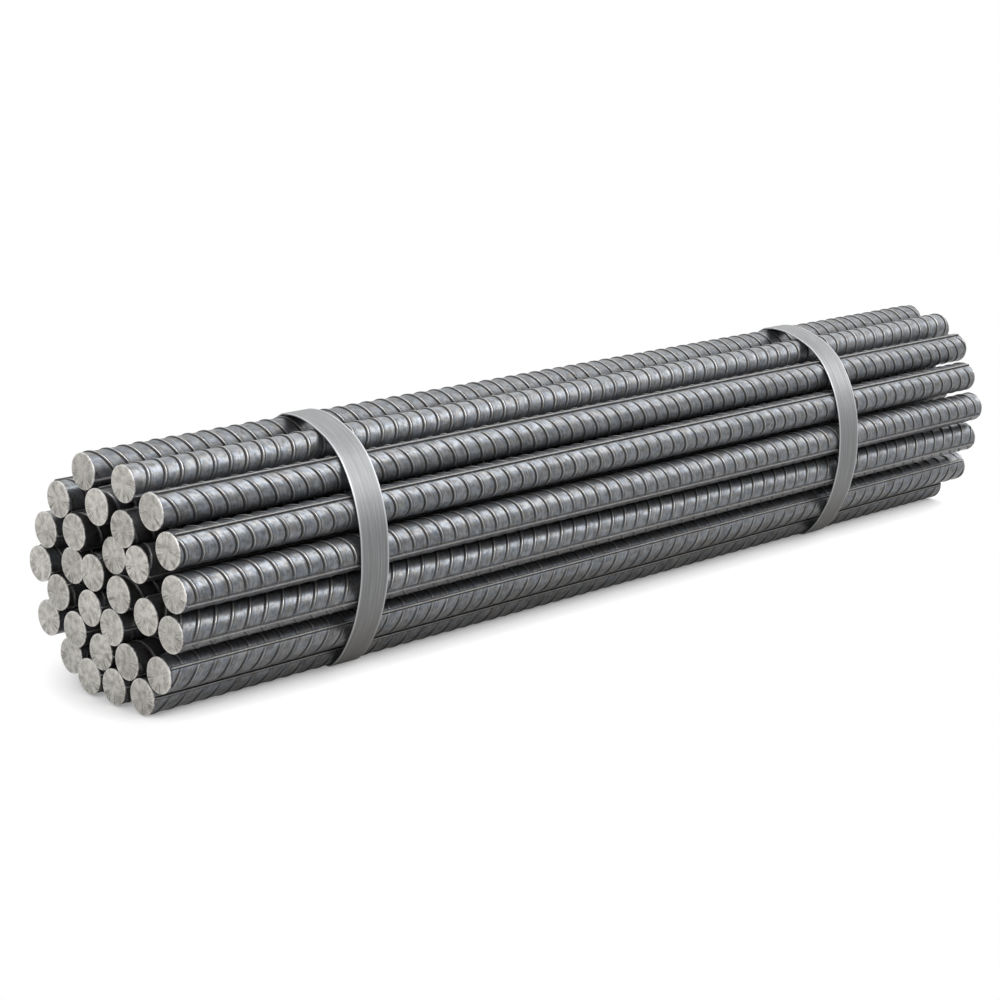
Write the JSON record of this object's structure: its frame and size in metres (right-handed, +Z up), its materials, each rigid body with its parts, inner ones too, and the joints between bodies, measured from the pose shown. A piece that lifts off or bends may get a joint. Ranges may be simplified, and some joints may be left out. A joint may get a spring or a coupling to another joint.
{
  "type": "rebar bundle",
  "caption": "Bundle of straight ribbed steel reinforcing bars with sawn ends, held by flat steel straps, lying ready to lift or to cut open on site.",
  "frame": {"origin": "the middle of the bundle's underside, on the floor that it lies on", "axes": "+X along the bars from their squared front ends to their back ends, +Z up, +Y to the side where the straps are lapped"},
  "size_m": [0.923, 0.1766, 0.171],
  "materials": {
    "bar_steel": "hot-rolled mill scale, semi-gloss, light rust on the ribs, sawn ends bare",
    "strap_steel": "cold-rolled strip, satin, fine scratches along the strap"
  },
  "bodies": {
    "root": {"rebar_01": "bar_steel", "rebar_02": "bar_steel", "rebar_03": "bar_steel", "rebar_04": "bar_steel", "rebar_05": "bar_steel", "rebar_06": "bar_steel", "rebar_07": "bar_steel", "rebar_08": "bar_steel", "rebar_09": "bar_steel", "rebar_10": "bar_steel", "rebar_11": "bar_steel", "rebar_12": "bar_steel", "rebar_13": "bar_steel", "rebar_14": "bar_steel", "rebar_15": "bar_steel", "rebar_16": "bar_steel", "rebar_17": "bar_steel", "rebar_18": "bar_steel", "rebar_19": "bar_steel", "rebar_20": "bar_steel", "rebar_21": "bar_steel", "rebar_22": "bar_steel", "rebar_23": "bar_steel", "rebar_24": "bar_steel", "rebar_25": "bar_steel", "rebar_26": "bar_steel", "rebar_27": "bar_steel", "rebar_28": "bar_steel", "rebar_29": "bar_steel", "rebar_30": "bar_steel", "strap_front": "strap_steel", "strap_back": "strap_steel"}
  },
  "joints": []
}
